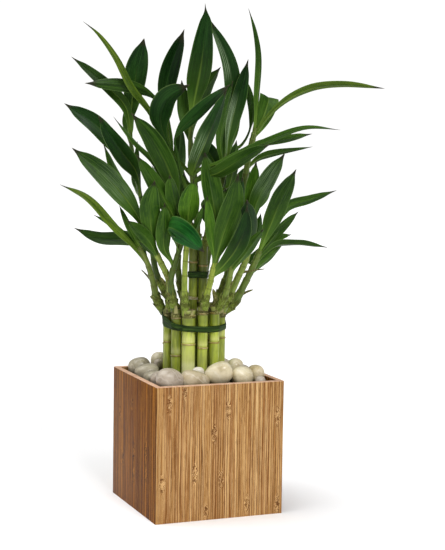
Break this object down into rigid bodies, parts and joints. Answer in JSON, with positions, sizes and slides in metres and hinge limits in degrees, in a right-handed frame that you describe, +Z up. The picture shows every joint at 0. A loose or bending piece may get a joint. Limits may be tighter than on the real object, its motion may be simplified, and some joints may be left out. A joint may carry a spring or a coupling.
{
  "type": "potted lucky bamboo",
  "caption": "Lucky bamboo: a tied bundle of green canes with leafy shoots, standing in pebbles in a square bamboo-wood planter.",
  "frame": {"origin": "middle of the planter's underside", "axes": "+Z up; -Y out of the planter's front panel and +X to its right"},
  "size_m": [0.2743, 0.1917, 0.4524],
  "materials": {
    "planter": "satin",
    "liner": "matte",
    "gravel": "matte",
    "pebble": "satin",
    "cane": "satin",
    "inner_cane": "satin",
    "tie": "satin",
    "shoot": "glossy"
  },
  "bodies": {
    "root": {"planter_panel_front": "planter", "planter_panel_right": "planter", "planter_panel_back": "planter", "planter_panel_left": "planter", "planter_base": "planter", "liner": "liner", "gravel_bed": "gravel", "pebble_01": "pebble", "pebble_02": "pebble", "pebble_03": "pebble", "pebble_04": "pebble", "pebble_05": "pebble", "pebble_06": "pebble", "pebble_07": "pebble", "pebble_08": "pebble", "pebble_09": "pebble", "pebble_10": "pebble", "pebble_11": "pebble", "pebble_12": "pebble", "pebble_13": "pebble", "pebble_14": "pebble", "pebble_15": "pebble", "pebble_16": "pebble", "pebble_17": "pebble", "pebble_18": "pebble", "pebble_19": "pebble", "pebble_20": "pebble", "cane_outer_01": "cane", "cane_outer_02": "cane", "cane_outer_03": "cane", "cane_outer_04": "cane", "cane_outer_05": "cane", "cane_outer_06": "cane", "cane_outer_07": "cane", "cane_outer_08": "cane", "cane_outer_09": "cane", "cane_outer_10": "cane", "cane_outer_11": "cane", "cane_outer_12": "cane", "cane_inner_01": "inner_cane", "cane_inner_02": "inner_cane", "cane_inner_03": "inner_cane", "tie_lower": "tie", "tie_upper": "tie", "shoot_outer_01": "shoot", "shoot_outer_02": "shoot", "shoot_outer_03": "shoot", "shoot_outer_04": "shoot", "shoot_outer_05": "shoot", "shoot_outer_06": "shoot", "shoot_outer_07": "shoot", "shoot_outer_08": "shoot", "shoot_outer_09": "shoot", "shoot_outer_10": "shoot", "shoot_outer_11": "shoot", "shoot_outer_12": "shoot", "shoot_inner_01": "shoot", "shoot_inner_02": "shoot", "shoot_inner_03": "shoot"}
  },
  "joints": []
}
